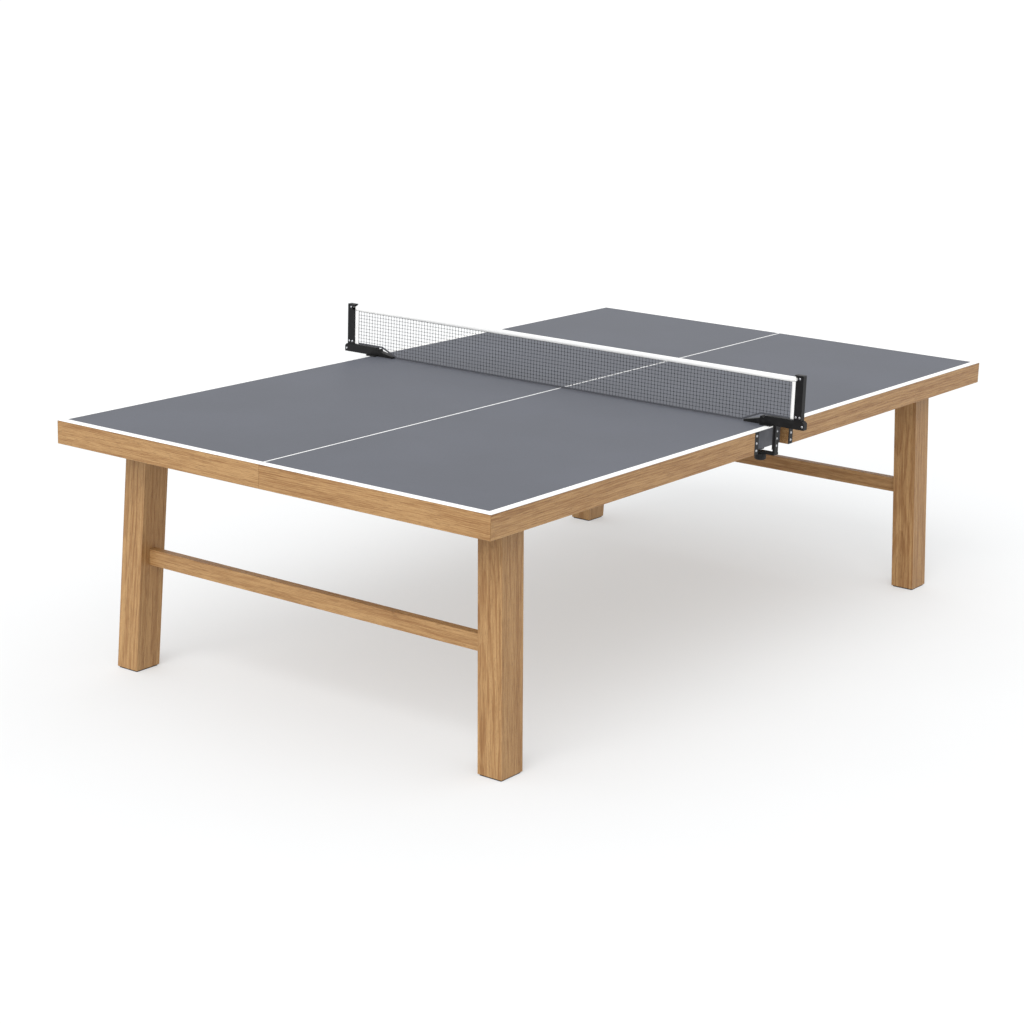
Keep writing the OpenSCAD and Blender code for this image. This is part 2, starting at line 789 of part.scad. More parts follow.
module clamp_rivets() {
    color("silver") each_side() {
        for (y = [-1, 1]) rivet_x(post_mid + y * rivet_off, base_rivet_z, post_x);
        rivet_x(post_mid, cord_z, post_x);
        rivet_x(end_rivet_y, end_rivet_z, jaw_x);
        for (z = edge_row_z) {
            rod_y([0, half_w + rivet_sunk + fit, z], rivet_d, spine_out - half_w - rivet_sunk);
            translate([0, spine_out, z]) rotate([-90, 0, 0]) rivet_head();
        }
    }
}

// The screw's tip turns in the pad, its shank in the arm, and its end is held in the knob.
module clamp_screw(sy) {
    z1 = apron_z - pad_t - fit;
    z0 = knob_top - knob_h + knob_floor;
    color("silver") quarter(1, sy) translate([0, clamp_y, 0]) union() {
        translate([0, 0, z0]) cylinder(d = screw_d, h = z1 - z0);
        translate([0, 0, z1 - cut]) cylinder(d = tip_d, h = cut + tip_deep);
    }
}

module clamp_knob(sy) {
    z0 = knob_top - knob_h;
    color("black") quarter(1, sy) translate([0, clamp_y, 0]) difference() {
        translate([0, 0, z0]) cylinder(d = knob_d, h = knob_h);
        translate([0, 0, z0 + knob_floor - fit]) cylinder(d = screw_d + 2 * fit, h = knob_h);
        for (k = [0:knob_grooves - 1]) rotate([0, 0, k * 360 / knob_grooves])
            translate([knob_d / 2 + groove_out, 0, z0 - cut]) cylinder(d = groove_d, h = knob_h + 2 * cut);
    }
}

module pressure_pad(sy) {
    color("black") quarter(1, sy) translate([0, clamp_y, apron_z - pad_t]) difference() {
        cylinder(d = pad_d, h = pad_t);
        translate([0, 0, -cut]) cylinder(d = tip_d + 2 * running, h = tip_deep + cut);
    }
}

playing_sheet(-1);  // playing_sheet_left
playing_sheet(1);  // playing_sheet_right
core_board(-1);  // core_board_left
core_board(1);  // core_board_right
border_strips(-1);  // border_strips_left
border_strips(1);  // border_strips_right
centre_line();
end_apron(-1, -1);  // end_apron_left_front
end_apron(-1, 1);  // end_apron_left_back
end_apron(1, -1);  // end_apron_right_front
end_apron(1, 1);  // end_apron_right_back
side_apron(-1, -1);  // side_apron_left_front
side_apron(-1, 1);  // side_apron_left_back
side_apron(1, -1);  // side_apron_right_front
side_apron(1, 1);  // side_apron_right_back
notch_panel(-1);  // notch_panel_front
notch_panel(1);  // notch_panel_back
notch_plates();
notch_screws();
bolster(-1);  // bolster_left
bolster(1);  // bolster_right
centre_rail(-1);  // centre_rail_left
centre_rail(1);  // centre_rail_right
long_rails();
rail_bolts();
rail_nuts();
corner_blocks();
apron_cleats();
leg(-1, -1);  // leg_left_front
leg(-1, 1);  // leg_left_back
leg(1, -1);  // leg_right_front
leg(1, 1);  // leg_right_back
leg_plates();
leg_plate_screws();
leg_bolts();
foot_pads();
stretcher(-1);  // stretcher_left
stretcher(1);  // stretcher_right
net_mesh();
net_top_tape();
net_bottom_hem();
net_side_tapes();
net_cord();
net_post(-1);  // net_post_front
net_post(1);  // net_post_back
post_caps();
clamp_body(-1);  // clamp_body_front
clamp_body(1);  // clamp_body_back
jaw_pads();
edge_pads();
clamp_rivets();
clamp_screw(-1);  // clamp_screw_front
clamp_screw(1);  // clamp_screw_back
clamp_knob(-1);  // clamp_knob_front
clamp_knob(1);  // clamp_knob_back
pressure_pad(-1);  // pressure_pad_front
pressure_pad(1);  // pressure_pad_back
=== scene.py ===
import json
import math

import bmesh
import bpy
import numpy as np
from mathutils import Matrix, Vector

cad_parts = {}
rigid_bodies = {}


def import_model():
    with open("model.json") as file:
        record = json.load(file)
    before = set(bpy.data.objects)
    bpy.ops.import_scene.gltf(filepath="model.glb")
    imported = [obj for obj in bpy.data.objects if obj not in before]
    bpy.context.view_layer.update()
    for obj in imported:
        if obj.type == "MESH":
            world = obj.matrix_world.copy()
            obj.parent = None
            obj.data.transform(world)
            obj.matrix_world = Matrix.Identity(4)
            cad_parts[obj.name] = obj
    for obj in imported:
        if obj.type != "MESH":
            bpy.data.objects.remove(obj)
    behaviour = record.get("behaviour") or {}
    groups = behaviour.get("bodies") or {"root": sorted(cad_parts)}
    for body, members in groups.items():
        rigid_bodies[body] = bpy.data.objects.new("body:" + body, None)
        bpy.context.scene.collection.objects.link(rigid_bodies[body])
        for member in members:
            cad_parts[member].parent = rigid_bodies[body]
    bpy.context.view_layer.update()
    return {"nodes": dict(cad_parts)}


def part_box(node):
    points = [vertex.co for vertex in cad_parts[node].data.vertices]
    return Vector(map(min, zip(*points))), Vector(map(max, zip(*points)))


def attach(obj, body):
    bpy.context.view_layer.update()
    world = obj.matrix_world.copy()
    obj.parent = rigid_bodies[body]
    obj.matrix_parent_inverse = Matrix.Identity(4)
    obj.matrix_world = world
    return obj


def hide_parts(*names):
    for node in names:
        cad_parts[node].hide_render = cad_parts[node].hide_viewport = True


for left_over in list(bpy.data.objects):
    bpy.data.objects.remove(left_over)
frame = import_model()
cad = frame["nodes"]


# --- Underframe ---------------------------------------------------------------------------
# Sawn and planed oak: a wide cross timber over each pair of legs, a pair of rails where the
# two halves of the table meet, and two long rails in each half. All are glued face to face.


def srgb(red, green, blue):
    """Linear colour of a swatch whose red, green and blue are read from 0 to 255."""
    swatch = np.array([red, green, blue]) / 255
    return tuple(np.where(swatch > 0.04045, ((swatch + 0.055) / 1.055) ** 2.4, swatch / 12.92))


class Value:
    """A socket on its way through a finish. Python's signs on it add Math nodes."""

    def __init__(self, finish, socket):
        self.finish, self.socket = finish, socket

    def math(self, operation, *others):
        """One Math node, with this value in its first socket."""
        return self.finish.node("Math", {"operation": operation}, dict(enumerate((self, *others))))

    def __add__(self, other):
        return self.math("ADD", other)

    def __sub__(self, other):
        return self.math("SUBTRACT", other)

    def __rsub__(self, other):
        return self.finish.node("Math", {"operation": "SUBTRACT"}, {0: other, 1: self})

    def __mul__(self, other):
        return self.math("MULTIPLY", other)

    def __pow__(self, power):
        return self.math("POWER", power)

    __radd__ = __add__
    __rmul__ = __mul__


class Finish:
    """A surface finish: one shader, its constants on the shader's own sockets, and its nodes."""

    def __init__(self, name, **constants):
        self.material = bpy.data.materials.new(name)
        self.material.use_nodes = True
        self.tree = self.material.node_tree
        self.shader = self.tree.nodes["Principled BSDF"]
        self.feed(self.shader, {key.replace("_", " "): value for key, value in constants.items()})
        self.place = self.node("TexCoord", {}, {}, "Object")

    def feed(self, made, sockets):
        """Gives a node's sockets their values or links."""
        for key, value in sockets.items():
            if isinstance(value, Value):
                self.tree.links.new(value.socket, made.inputs[key])
            else:
                made.inputs[key].default_value = value

    def node(self, kind, settings, sockets, output=0):
        """Adds any node: its settings first, then its sockets. It returns one output."""
        made = self.tree.nodes.new("ShaderNode" + kind)
        for key, value in settings.items():
            setattr(made, key, value)
        self.feed(made, sockets)
        return Value(self, made.outputs[output])

    def wear(self, **sockets):
        """Feeds what changes over the surface into the shader."""
        self.feed(self.shader, {key.replace("_", " "): value for key, value in sockets.items()})

    def join(self, x, y, z):
        """A vector from its three parts."""
        return self.node("CombineXYZ", {}, {0: x, 1: y, 2: z})

    def split(self, vector):
        """The three parts of a vector."""
        made = self.node("SeparateXYZ", {}, {0: vector}).socket.node
        return [Value(self, socket) for socket in made.outputs]

    def along(self, vector, direction):
        """How far a vector reaches along a direction."""
        return self.node("VectorMath", {"operation": "DOT_PRODUCT"}, {0: vector, 1: direction}, "Value")

    def noise(self, at, scale, detail=2.0, roughness=0.5):
        """Soft noise of about 0 to 1, with this many waves in a metre."""
        return self.node(
            "TexNoise", {}, {"Vector": at, "Scale": scale, "Detail": detail, "Roughness": roughness}
        )

    def step(self, value, low, high):
        """0 below low, 1 above high and a smooth rise between them."""
        return self.node(
            "MapRange", {"interpolation_type": "SMOOTHSTEP"}, {0: value, 1: low, 2: high, 3: 0.0, 4: 1.0}
        )

    def mix(self, share, one, other):
        """A colour that goes from one to the other."""
        one, other = (c if isinstance(c, Value) else (*c, 1.0) for c in (one, other))
        return self.node("Mix", {"data_type": "RGBA"}, {0: share, 6: one, 7: other}, 2)

    def bump(self, height, depth, strength=1.0):
        """Tilts the surface by a height of 0 to 1 that stands for this depth in metres."""
        return self.node("Bump", {}, {"Strength": strength, "Distance": depth, "Height": height})


def oak(name, grain, middle, seed, tone=0.0):
    """Oiled oak. u runs with the grain, v and w across it, from the board's middle.
    Growth rings are circles round a pith that lies beside the board and wanders slowly with u.
    Pores are noise drawn out along u, most of them in the early wood of each ring."""
    wood = Finish(name, Specular_IOR_Level=0.32)
    with_grain = Vector(grain).normalized()
    upright = abs(with_grain.z) > 0.7
    side = with_grain.cross(Vector((0.55, 1.0, 0.1) if upright else (0.31, 0.17, 1.0))).normalized()
    other = with_grain.cross(side)
    at = wood.node("VectorMath", {"operation": "SUBTRACT"}, {0: wood.place, 1: tuple(middle)})
    u, v, w = (wood.along(at, tuple(axis)) for axis in (with_grain, side, other))
    u = u + seed

    def drawn_out(with_it, across_it, detail, roughness=0.5):
        """Noise with this many waves in a metre of grain, and this many across it."""
        stretched = wood.join(u * with_it, v * across_it, w * across_it)
        return wood.noise(stretched, 1.0, detail, roughness)

    ring, sway, shiver = 0.0042, 0.06, 0.004
    pith_v, pith_w = 0.055 + 0.03 * math.sin(seed), 0.07 + 0.03 * math.cos(2 * seed)
    from_pith = (v + pith_v + drawn_out(0.9, 3.0, 2.0) * sway) ** 2.0 + (w + pith_w) ** 2.0
    radius = from_pith**0.5 + drawn_out(7.0, 16.0, 2.0) * shiver
    age = (radius * (1 / ring)).math("FRACT")
    late = wood.step(age, 0.25, 0.85) * (1.0 - wood.step(age, 0.93, 1.0))

    streak = drawn_out(3.2, 105.0, 3.0, 0.65)
    hair = drawn_out(17.0, 330.0, 2.0, 0.6)
    fleck = wood.step(drawn_out(34.0, 430.0, 1.0), 0.60, 0.72)
    cloud = drawn_out(1.3, 9.0, 1.0)
    pore = wood.step(drawn_out(130.0, 2300.0, 1.0), 0.57, 0.70) * (1.0 - late * 0.75)

    light, dark, pore_brown = srgb(176, 139, 93), srgb(131, 91, 51), srgb(92, 62, 36)
    pore_depth = 0.00022
    share = late * 0.28 + wood.step(streak, 0.34, 0.68) * 0.46 + wood.step(hair, 0.38, 0.62) * 0.30
    share = share + (cloud - 0.5) * 0.5 + tone
    colour = wood.mix(wood.step(share, -0.05, 1.15), light, dark)
    wood.wear(
        Base_Color=wood.mix(fleck * 0.35 + pore * 0.45, colour, pore_brown),
        Roughness=0.50 + pore * 0.25 - late * 0.07,
        Normal=wood.bump(late * 0.18 - pore * 0.9 + hair * 0.25, pore_depth, 0.8),
    )
    return wood.material


def finish_node(node, material, edge=0.0):
    """Gives a CAD piece its finish. Edges of more than 32 degrees are eased by the edge width,
    but not on a piece with bores, whose flat faces would crease between their rims."""
    piece = cad[node]
    piece.data.materials.clear()
    piece.data.materials.append(material)
    if edge:
        weld = piece.modifiers.new("weld", "WELD")
        weld.merge_threshold = 1e-5
        ease = piece.modifiers.new("eased edges", "BEVEL")
        ease.width, ease.segments = edge, 2
        ease.limit_method, ease.angle_limit = "ANGLE", math.radians(32)
        level = piece.modifiers.new("flat faces", "WEIGHTED_NORMAL")
        level.mode, level.weight = "FACE_AREA", 100


def middle_of(node):
    """The middle of a piece's box."""
    low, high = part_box(node)
    return (low + high) / 2


cross_timbers = ("bolster_left", "bolster_right", "centre_rail_left", "centre_rail_right")
for count, node in enumerate(cross_timbers):
    finish_node(node, oak(node, (0, 1, 0), middle_of(node), 1.7 + 2.3 * count, 0.06))
low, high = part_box("long_rails")
finish_node("long_rails", oak("long_rails", (1, 0, 0), (0, high.y, low.z), 11.3, 0.04), edge=0.0012)


# --- Rail bolts and nuts ------------------------------------------------------------------
# M8 hexagon bolts of zinc-plated steel with washers. They pull the two centre rails together,
# so the halves of the table can be parted.


def zinc(name):
    """Zinc plate: bright metal with a faint crystal pattern, and duller patches from handling."""
    plate = Finish(name, Metallic=1.0)
    crystal = plate.node("TexVoronoi", {"feature": "F1"}, {"Vector": plate.place, "Scale": 700.0}, "Color")
    grain = plate.split(crystal)[0]
    patch = plate.noise(plate.place, 90.0, 3.0)
    plate.wear(
        Base_Color=plate.mix(grain * 0.5 + patch * 0.5, srgb(205, 205, 208), srgb(150, 152, 156)),
        Roughness=0.22 + grain * 0.10 + plate.step(patch, 0.45, 0.75) * 0.18,
        Normal=plate.bump(plate.noise(plate.place, 1500.0, 1.0), 0.00003, 0.6),
    )
    return plate.material


bright_steel = zinc("zinc_plated_steel")
finish_node("rail_bolts", bright_steel, edge=0.0004)
finish_node("rail_nuts", bright_steel, edge=0.0004)


# --- Corner blocks and apron cleats -------------------------------------------------------
# Short oak blocks, glued in the corners and behind the butt joint of each end apron, hold the
# aprons square to the board.

finish_node("corner_blocks", oak("corner_blocks", (0, 0, 1), (0, 0, 0.7), 5.1, 0.1), edge=0.001)
finish_node("apron_cleats", oak("apron_cleats", (0, 1, 0), (0, 0, 0.7), 8.6, 0.1), edge=0.001)


# --- Aprons -------------------------------------------------------------------------------
# Oak boards 67 mm deep and 30 mm thick all round the top, mitred at the corners and butted in
# the middle of each end. The side aprons stop short of the middle to leave the net notch.

ends = ("left_front", "left_back", "right_front", "right_back")
for count, end in enumerate(ends):
    light_or_dark = (-1) ** count
    for node, grain, seed, tone in (
        ("end_apron_" + end, (0, 1, 0.004), 21.0 + 3.9 * count, 0.03 * light_or_dark),
        ("side_apron_" + end, (1, 0, 0.003), 41.0 + 4.7 * count, 0.02 * light_or_dark),
    ):
        finish_node(node, oak(node, grain, middle_of(node), seed, tone), edge=0.0008)


# --- Notch panels -------------------------------------------------------------------------
# Birch plywood painted dark grey, behind the gap in each side apron. The clamp's pad presses
# on it from below.


def grey_paint(name):
    """Satin paint from a roller: soft stipple, and lighter bluish patches that are painted reflections."""
    paint = Finish(name, Specular_IOR_Level=0.5)
    stipple = paint.noise(paint.place, 700.0, 2.0, 0.6)
    painted_reflection = paint.noise(paint.place, 26.0, 3.0)
    paint.wear(
        # The lighter bluish patches in the base colour are painted reflections.
        Base_Color=paint.mix(paint.step(painted_reflection, 0.35, 0.72), srgb(70, 73, 80), srgb(86, 89, 97)),
        Roughness=0.38 + stipple * 0.14,
        Normal=paint.bump(stipple, 0.00010, 0.7),
    )
    return paint.material


panel_paint = grey_paint("panel_paint")
for node in ("notch_panel_front", "notch_panel_back"):
    finish_node(node, panel_paint, edge=0.0008)


# --- Notch plates and their screws --------------------------------------------------------
# Mild steel strips 2 mm thick, powder-coated black and let into the apron's face at each cut
# end, each held by three countersunk wood screws.


def powder_coat(name):
    """Black powder coat: fine pebbled skin, satin, with dust-grey wear in its hollows."""
    coat = Finish(name, Specular_IOR_Level=0.22)
    pebble = coat.noise(coat.place, 1300.0, 2.0, 0.55)
    rub = coat.step(coat.noise(coat.place, 60.0, 4.0, 0.6), 0.45, 0.80)
    coat.wear(
        Base_Color=coat.mix(rub, srgb(15, 15, 16), srgb(28, 28, 29)),
        Roughness=0.36 + pebble * 0.22 + rub * 0.08,
        Normal=coat.bump(pebble, 0.00012, 0.7),
    )
    return coat.material


black_steel = powder_coat("powder_coated_steel")
finish_node("notch_plates", black_steel)
finish_node("notch_screws", bright_steel)


# --- Core boards --------------------------------------------------------------------------
# Chipboard 18 mm thick, one board for each half of the table, raw on its underside and glued
# in between the aprons. It carries the playing surface.


def chipboard(name):
    """Pressed chips: flat flakes of many browns with dark glue between them."""
    board = Finish(name, Specular_IOR_Level=0.25)
    warp = board.noise(board.place, 40.0, 2.0)
    x, y, z = board.split(board.place)
    at = board.join(x + warp * 0.012, y * 1.7 - warp * 0.008, z * 3.0)
    chips = {"Vector": at, "Scale": 130.0}
    tint = board.split(board.node("TexVoronoi", {"feature": "F1"}, chips, "Color"))
    edge = board.node("TexVoronoi", {"feature": "DISTANCE_TO_EDGE"}, chips)
    seam = 1.0 - board.step(edge, 0.0, 0.09)
    fibre = board.noise(board.join(x * 300.0, y * 60.0, z * 300.0), 1.0, 2.0)
    colour = board.mix(tint[0], srgb(196, 164, 120), srgb(150, 115, 74))
    colour = board.mix(tint[1] * fibre * 0.7, colour, srgb(116, 84, 52))
    board.wear(
        Base_Color=board.mix(seam * 0.6, colour, srgb(96, 70, 44)),
        Roughness=0.72 + tint[2] * 0.18,
        Normal=board.bump(tint[2] * 0.5 - seam + fibre * 0.4, 0.00025, 0.8),
    )
    return board.material


raw_board = chipboard("chipboard")
for node in ("core_board_left", "core_board_right"):
    finish_node(node, raw_board, edge=0.0005)


# --- Playing sheets -----------------------------------------------------------------------
# High-pressure laminate, 3 mm, matt slate grey. Its faint texture keeps the ball from sliding
# and stops lamps from glaring on it.


def laminate(name):
    """Matt slate laminate: very fine leather-like stipple, and slow differences in its grey."""
    sheet = Finish(name, Specular_IOR_Level=0.27)
    stipple = sheet.noise(sheet.place, 950.0, 2.0, 0.6)
    speck = sheet.noise(sheet.place, 260.0, 2.0, 0.7)
    cloud = sheet.noise(sheet.place, 2.2, 3.0, 0.55)
    share = cloud * 0.6 + speck * 0.4
    sheet.wear(
        Base_Color=sheet.mix(sheet.step(share, 0.30, 0.72), srgb(84, 87, 95), srgb(92, 95, 104)),
        Roughness=0.47 + stipple * 0.12 + cloud * 0.06,
        Normal=sheet.bump(stipple, 0.00006, 0.5),
    )
    return sheet.material


slate = laminate("slate_laminate")
for node in ("playing_sheet_left", "playing_sheet_right"):
    finish_node(node, slate, edge=0.0003)


# --- White edge strips and centre line ----------------------------------------------------
# Strips of white laminate 20 mm wide let in round the surface, and a 5 mm white line along
# its middle, both flush with the grey.


def white_line(name):
    """White laminate, a little greyed by dust and by the balls' marks."""
    line = Finish(name, Specular_IOR_Level=0.42)
    mark = line.noise(line.place, 34.0, 4.0, 0.6)
    stipple = line.noise(line.place, 950.0, 2.0, 0.6)
    line.wear(
        Base_Color=line.mix(line.step(mark, 0.40, 0.80), srgb(247, 247, 246), srgb(234, 234, 232)),
        Roughness=0.42 + stipple * 0.12,
        Normal=line.bump(stipple, 0.00006, 0.5),
    )
    return line.material


white_laminate = white_line("white_laminate")
for node in ("border_strips_left", "border_strips_right"):
    finish_node(node, white_laminate, edge=0.0004)
finish_node("centre_line", white_laminate)


# --- Leg plates, their screws and bolts ---------------------------------------------------
# Steel plates 8 mm thick lie between each leg and its cross timber: four hexagon screws hold
# the plate up, and bolts through it go down into the leg.

finish_node("leg_plates", black_steel)
finish_node("leg_plate_screws", bright_steel, edge=0.0003)
finish_node("leg_bolts", bright_steel)


# --- Legs ---------------------------------------------------------------------------------
# Solid oak legs, 92 by 78 mm. Each is one length of wood with its grain along its lean, and its
# foot stands further out than its head: 15 mm along the table and 33 mm across it.

out_along, out_across = 0.015, 0.033
for count, end in enumerate(ends):
    node = "leg_" + end
    low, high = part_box(node)
    along = out_along if "left" in end else -out_along
    across = out_across if "front" in end else -out_across
    lean = (along, across, high.z - low.z)
    wood = oak(node, lean, middle_of(node), 61.0 + 5.3 * count, 0.04 * (-1) ** count)
    finish_node(node, wood, edge=0.0012)


# --- Stretchers ---------------------------------------------------------------------------
# An oak rail 47 mm deep and 29 mm thick between the two legs at each end. Its tenons are glued
# into the legs' inner faces, and it keeps the legs from spreading.

for count, node in enumerate(("stretcher_left", "stretcher_right")):
    finish_node(node, oak(node, (0, 1, 0.003), middle_of(node), 81.0 + 6.1 * count), edge=0.0012)


# --- Foot pads ----------------------------------------------------------------------------
# Black rubber, 4 mm thick, glued under each leg. The pads keep the oak off a damp floor and
# the table from creeping.


def rubber(name):
    """Moulded rubber: dull black with a dry bloom and a grainy skin."""
    gum = Finish(name, Specular_IOR_Level=0.3)
    grain = gum.noise(gum.place, 900.0, 3.0, 0.65)
    bloom = gum.noise(gum.place, 45.0, 3.0)
    gum.wear(
        Base_Color=gum.mix(gum.step(bloom, 0.35, 0.75), srgb(24, 24, 25), srgb(44, 43, 42)),
        Roughness=0.70 + grain * 0.20,
        Normal=gum.bump(grain, 0.00015, 0.8),
    )
    return gum.material


black_rubber = rubber("black_rubber")
finish_node("foot_pads", black_rubber, edge=0.0008)


# --- Clamp bodies, their rubbers and rivets -----------------------------------------------
# A bar, a strap and a lower arm of pressed steel, powder-coated black, at each end of the net.
# Rubber keeps the bar off the surface and the strap off the edge. Steel rivets show at the
# posts, the bar's end and the strap.

for node in ("clamp_body_front", "clamp_body_back"):
    finish_node(node, black_steel)
finish_node("jaw_pads", black_rubber, edge=0.0003)
finish_node("edge_pads", black_rubber)
finish_node("clamp_rivets", bright_steel)


# --- Clamp screws -------------------------------------------------------------------------
# Steel screws of 8 mm with a thread of 2 mm pitch. Each turns in the lower arm, its tip bears
# in the pressure pad, and its end is held in the knob.


def skin(name, points, closed=False):
    """A surface of four-sided faces through points[piece, row, column]. The last column joins
    the first where it is closed. The UV map is the distance in metres from the first row and
    from the first column. Equal points are joined, so a row of equal points closes an end."""
    points = np.asarray(points, float)
    pieces, rows, columns = points.shape[:3]
    number = np.arange(pieces * rows * columns).reshape(pieces, rows, columns)
    reach = points
    if closed:
        number = np.concatenate([number, number[:, :, :1]], 2)
        reach = np.concatenate([reach, reach[:, :, :1]], 2)
    run = np.linalg.norm(np.diff(reach, axis=1), axis=3).mean(2).cumsum(1)
    girth = np.linalg.norm(np.diff(reach, axis=2), axis=3).max(1).cumsum(1)
    run = np.pad(run, ((0, 0), (1, 0)))[:, :, None] + 0 * reach[..., 0]
    girth = np.pad(girth, ((0, 0), (1, 0)))[:, None, :] + 0 * reach[..., 0]
    uv = np.stack([run, girth], -1)
    near, far = slice(None, -1), slice(1, None)
    corners = ((near, near), (far, near), (far, far), (near, far))
    faces = np.stack([number[:, row, column] for row, column in corners], -1).reshape(-1, 4)
    corner_uv = np.stack([uv[:, row, column] for row, column in corners], -2)
    mesh = bpy.data.meshes.new(name)
    mesh.from_pydata(points.reshape(-1, 3).tolist(), [], faces.tolist())
    layer = mesh.uv_layers.new(name="metres")
    layer.data.foreach_set("uv", corner_uv.ravel())
    work = bmesh.new()
    work.from_mesh(mesh)
    bmesh.ops.remove_doubles(work, verts=work.verts, dist=1e-7)
    bmesh.ops.dissolve_degenerate(work, edges=work.edges, dist=1e-8)
    bmesh.ops.recalc_face_normals(work, faces=work.faces)
    work.to_mesh(mesh)
    work.free()
    mesh.shade_smooth()
    piece = bpy.data.objects.new(name, mesh)
    bpy.context.scene.collection.objects.link(piece)
    return piece


def turned(profile, sides, centre, radius_at):
    """A profile of (radius, height) pairs carried round a vertical axis through the centre, at
    equal angles. radius_at then gives each point's own radius from its profile's radius, its
    angle and its height, so that the piece needn't be round."""
    profile = np.asarray(profile, float)
    angle = np.linspace(0, 2 * np.pi, sides, endpoint=False)
    height = profile[:, 1:] + 0 * angle
    radius = radius_at(profile[:, :1] + 0 * angle, angle + 0 * height, height)
    x = centre[0] + radius * np.cos(angle)
    y = centre[1] + radius * np.sin(angle)
    return np.stack([x, y, height], -1)[None]


def thread_radius(radius, angle, height):
    """The crest's radius less the thread's depth times a triangle wave, which is cut flat at
    crest and root. The wave runs with the height over the pitch, less the share of a turn."""
    pitch, depth, steepness, crest_flat, plain_radius = 0.002, 0.00115, 2.6, 0.15, 0.0035
    turn = (height / pitch - angle / (2 * np.pi)) % 1.0
    wave = np.clip(steepness * np.abs(turn - 0.5) - crest_flat, 0, 1)
    return np.maximum(radius - depth * wave * (radius > plain_radius), 0)


chamfer, tip_radius, clear = 0.0006, 0.0024, 0.00005
for side in ("front", "back"):
    node = "clamp_screw_" + side
    low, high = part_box(node)
    centre = (low + high) / 2
    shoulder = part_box("pressure_pad_" + side)[0].z - 2 * clear
    crest = (high.x - low.x) / 2 - clear
    heights = np.linspace(low.z, shoulder - chamfer, 200)
    shank = np.stack([0 * heights + crest, heights], 1)
    in_knob = [(0, low.z), (crest - 0.001, low.z)]
    tip = [
        (crest - 2 * chamfer, shoulder),
        (tip_radius, shoulder),
        (tip_radius, high.z - chamfer),
        (tip_radius - chamfer, high.z),
        (0, high.z),
    ]
    profile = np.concatenate([in_knob, shank, tip])
    screw = skin("threaded_screw_" + side, turned(profile, 28, centre, thread_radius), True)
    screw.data.materials.append(bright_steel)
    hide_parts(node)
    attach(screw, "knob_" + side)


# --- Clamp knobs --------------------------------------------------------------------------
# Black plastic, moulded round the screw's end, with eight grooves in the rim for the fingers
# and a crowned face. It turns the screw.


def moulded(name):
    """Moulded plastic: even black with a spark-eroded grain and faint flow lines."""
    plastic = Finish(name, Specular_IOR_Level=0.25)
    grain = plastic.noise(plastic.place, 1800.0, 2.0, 0.6)
    flow = plastic.noise(plastic.place, 70.0, 2.0)
    plastic.wear(
        Base_Color=plastic.mix(plastic.step(flow, 0.3, 0.8), srgb(18, 18, 19), srgb(31, 31, 33)),
        Roughness=0.40 + grain * 0.18,
        Normal=plastic.bump(grain, 0.00007, 0.6),
    )
    return plastic.material


def scalloped(radius, angle, height):
    """The radius, cut by eight round grooves whose middles lie just outside the rim. The nearer
    of rim and groove counts, and the two meet in a small curve. The face and the hub stay round."""
    grooves, groove_radius, groove_middle = 8, 0.003, 0.0185
    face_radius, no_groove, blend = 0.010, 0.03, 0.0005
    share = (angle * grooves / (2 * np.pi) + 0.5) % 1.0 - 0.5
    away = share * 2 * np.pi / grooves
    inside = np.clip(groove_radius**2 - (groove_middle * np.sin(away)) ** 2, 0, None)
    cut = np.where(inside > 0, groove_middle * np.cos(away) - np.sqrt(inside), no_groove)
    nearer = -blend * np.logaddexp(-radius / blend, -cut / blend)
    return np.where(radius > face_radius, nearer, radius)


black_plastic = moulded("moulded_plastic")
rim, crown_rise, lower_round, upper_round = 0.01695, 0.0014, 0.0022, 0.0015
socket_depth, bore_depth = 0.0006, 0.004
bend = np.linspace(0, np.pi / 2, 7)
for side in ("front", "back"):
    node = "clamp_knob_" + side
    low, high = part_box(node)
    centre = (low + high) / 2
    bottom, top = low.z, high.z
    dimple = [(0, bottom + 0.0008), (0.0036, bottom + 0.0008), (0.0044, bottom)]
    crown = [(rim * share, bottom + crown_rise * share**4) for share in (0.30, 0.45, 0.6, 0.72, 0.82)]
    lower_height = bottom + crown_rise + lower_round * (1 - np.cos(bend))
    lower = np.stack([rim - lower_round * (1 - np.sin(bend)), lower_height], 1)
    upper_height = top - upper_round * (1 - np.sin(bend))
    upper = np.stack([rim - upper_round * (1 - np.cos(bend)), upper_height], 1)
    socket = [
        (0.0085, top),
        (0.0079, top - socket_depth),
        (0.0042, top - socket_depth),
        (0.0041, top - bore_depth),
        (0, top - bore_depth),
    ]
    profile = np.concatenate([dimple, crown, lower, upper, socket])
    knob = skin("grooved_knob_" + side, turned(profile, 192, centre, scalloped), True)
    knob.data.materials.append(black_plastic)
    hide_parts(node)
    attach(knob, "knob_" + side)


# --- Pressure pads ------------------------------------------------------------------------
# Powder-coated steel discs, swivelling on the screws' tips. They press up on the grey panel
# without turning, so they don't scrape its paint.

for side in ("front", "back"):
    finish_node("pressure_pad_" + side, black_steel)


# --- Net posts and caps -------------------------------------------------------------------
# Square steel tubes, powder-coated black and riveted to the bar's tongue, with plastic caps
# pressed into their tops.

for side in ("front", "back"):
    finish_node("net_post_" + side, black_steel)
finish_node("post_caps", black_plastic, edge=0.0006)


# --- Net cord -----------------------------------------------------------------------------
# White braided cord of 2.2 mm, drawn tight through the top tape and looped round a rivet in
# each post.


